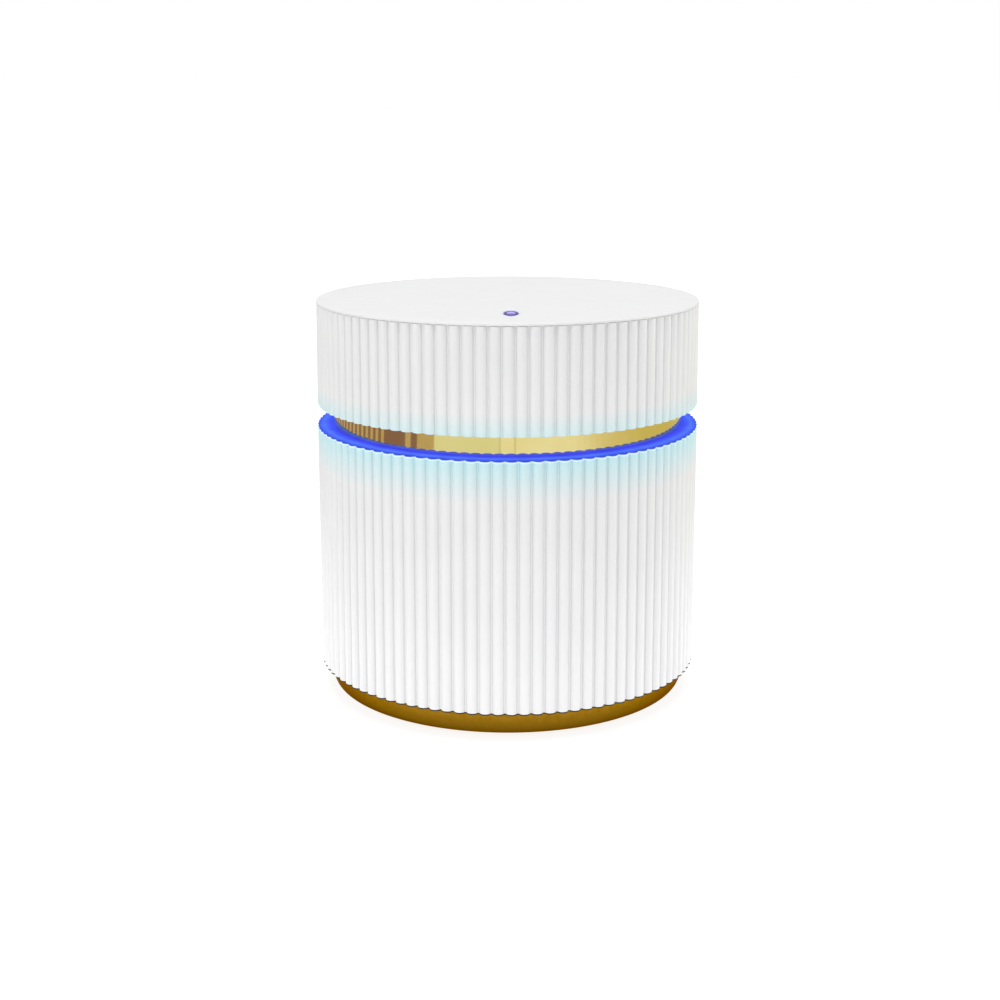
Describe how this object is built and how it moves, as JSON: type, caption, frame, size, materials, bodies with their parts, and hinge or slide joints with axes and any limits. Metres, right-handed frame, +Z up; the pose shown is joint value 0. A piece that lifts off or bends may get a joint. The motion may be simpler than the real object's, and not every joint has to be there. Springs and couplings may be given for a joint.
{
  "type": "wireless router",
  "caption": "Cylindrical wireless router with a fluted white housing, a lit blue ring under its cap, gold neck and base, and network sockets, power inlet and buttons in a rear recess.",
  "frame": {"origin": "centre of the bounding box's bottom, on the plane that the feet stand on", "axes": "+Z up along the cylinder, -Y to the front (status light), +Y to the back (sockets), +X to the right seen from the front"},
  "size_m": [0.11, 0.11, 0.1134],
  "materials": {
    "white_plastic": "satin white",
    "gold_trim": "polished, gold coloured",
    "base_gold": "satin, gold coloured",
    "ring_light": "translucent, lit from behind",
    "rubber": "matt",
    "steel": "plated",
    "socket_shield": "tin plated",
    "contact_gold": "plated",
    "black_plastic": "matt",
    "grey_plastic": "matt",
    "circuit_board": "solder mask",
    "aluminium": "extruded",
    "heat_pad_grey": "soft pad",
    "cable_black": "matt"
  },
  "bodies": {
    "housing": {"top_plate": "white_plastic", "upper_shell": "white_plastic", "lower_shell": "white_plastic", "port_panel": "white_plastic", "neck_band": "gold_trim", "base_tray": "base_gold", "light_ring": "ring_light", "status_lens": "ring_light", "foot_1": "rubber", "foot_2": "rubber", "foot_3": "rubber", "foot_4": "rubber", "base_screw_1": "steel", "base_screw_2": "steel", "base_screw_3": "steel", "base_screw_4": "steel", "board_screw_1": "steel", "board_screw_2": "steel", "board_screw_3": "steel", "board_screw_4": "steel", "cap_screw_1": "steel", "cap_screw_2": "steel", "cap_screw_3": "steel", "cap_screw_4": "steel", "radio_shield_1": "steel", "radio_shield_2": "steel", "wan_port": "socket_shield", "lan_port": "socket_shield", "wan_contacts": "contact_gold", "lan_contacts": "contact_gold", "power_pin": "contact_gold", "power_jack": "black_plastic", "processor": "black_plastic", "network_transformer": "black_plastic", "capacitor_1": "black_plastic", "capacitor_2": "black_plastic", "neck_frame": "grey_plastic", "wps_switch": "grey_plastic", "reset_switch": "grey_plastic", "main_board": "circuit_board", "button_board": "circuit_board", "status_board": "circuit_board", "led_strip": "circuit_board", "antenna_1": "circuit_board", "antenna_2": "circuit_board", "antenna_3": "circuit_board", "antenna_4": "circuit_board", "heat_sink": "aluminium", "heat_pad": "heat_pad_grey", "led_cable": "cable_black", "status_cable": "cable_black", "antenna_cable_1": "cable_black", "antenna_cable_2": "cable_black", "antenna_cable_3": "cable_black", "antenna_cable_4": "cable_black"},
    "wps": {"wps_button": "white_plastic", "wps_plunger": "black_plastic"},
    "reset": {"reset_button": "white_plastic", "reset_plunger": "black_plastic"}
  },
  "joints": [
    {"name": "wps_press", "type": "slide", "parent": "housing", "child": "wps", "axis": [0, -1, 0], "range_m": [0, 0.0008], "stiffness_N_per_m": 1500, "springref_m": -0.0006},
    {"name": "reset_press", "type": "slide", "parent": "housing", "child": "reset", "axis": [0, -1, 0], "range_m": [0, 0.0006], "stiffness_N_per_m": 1800, "springref_m": -0.0006}
  ]
}
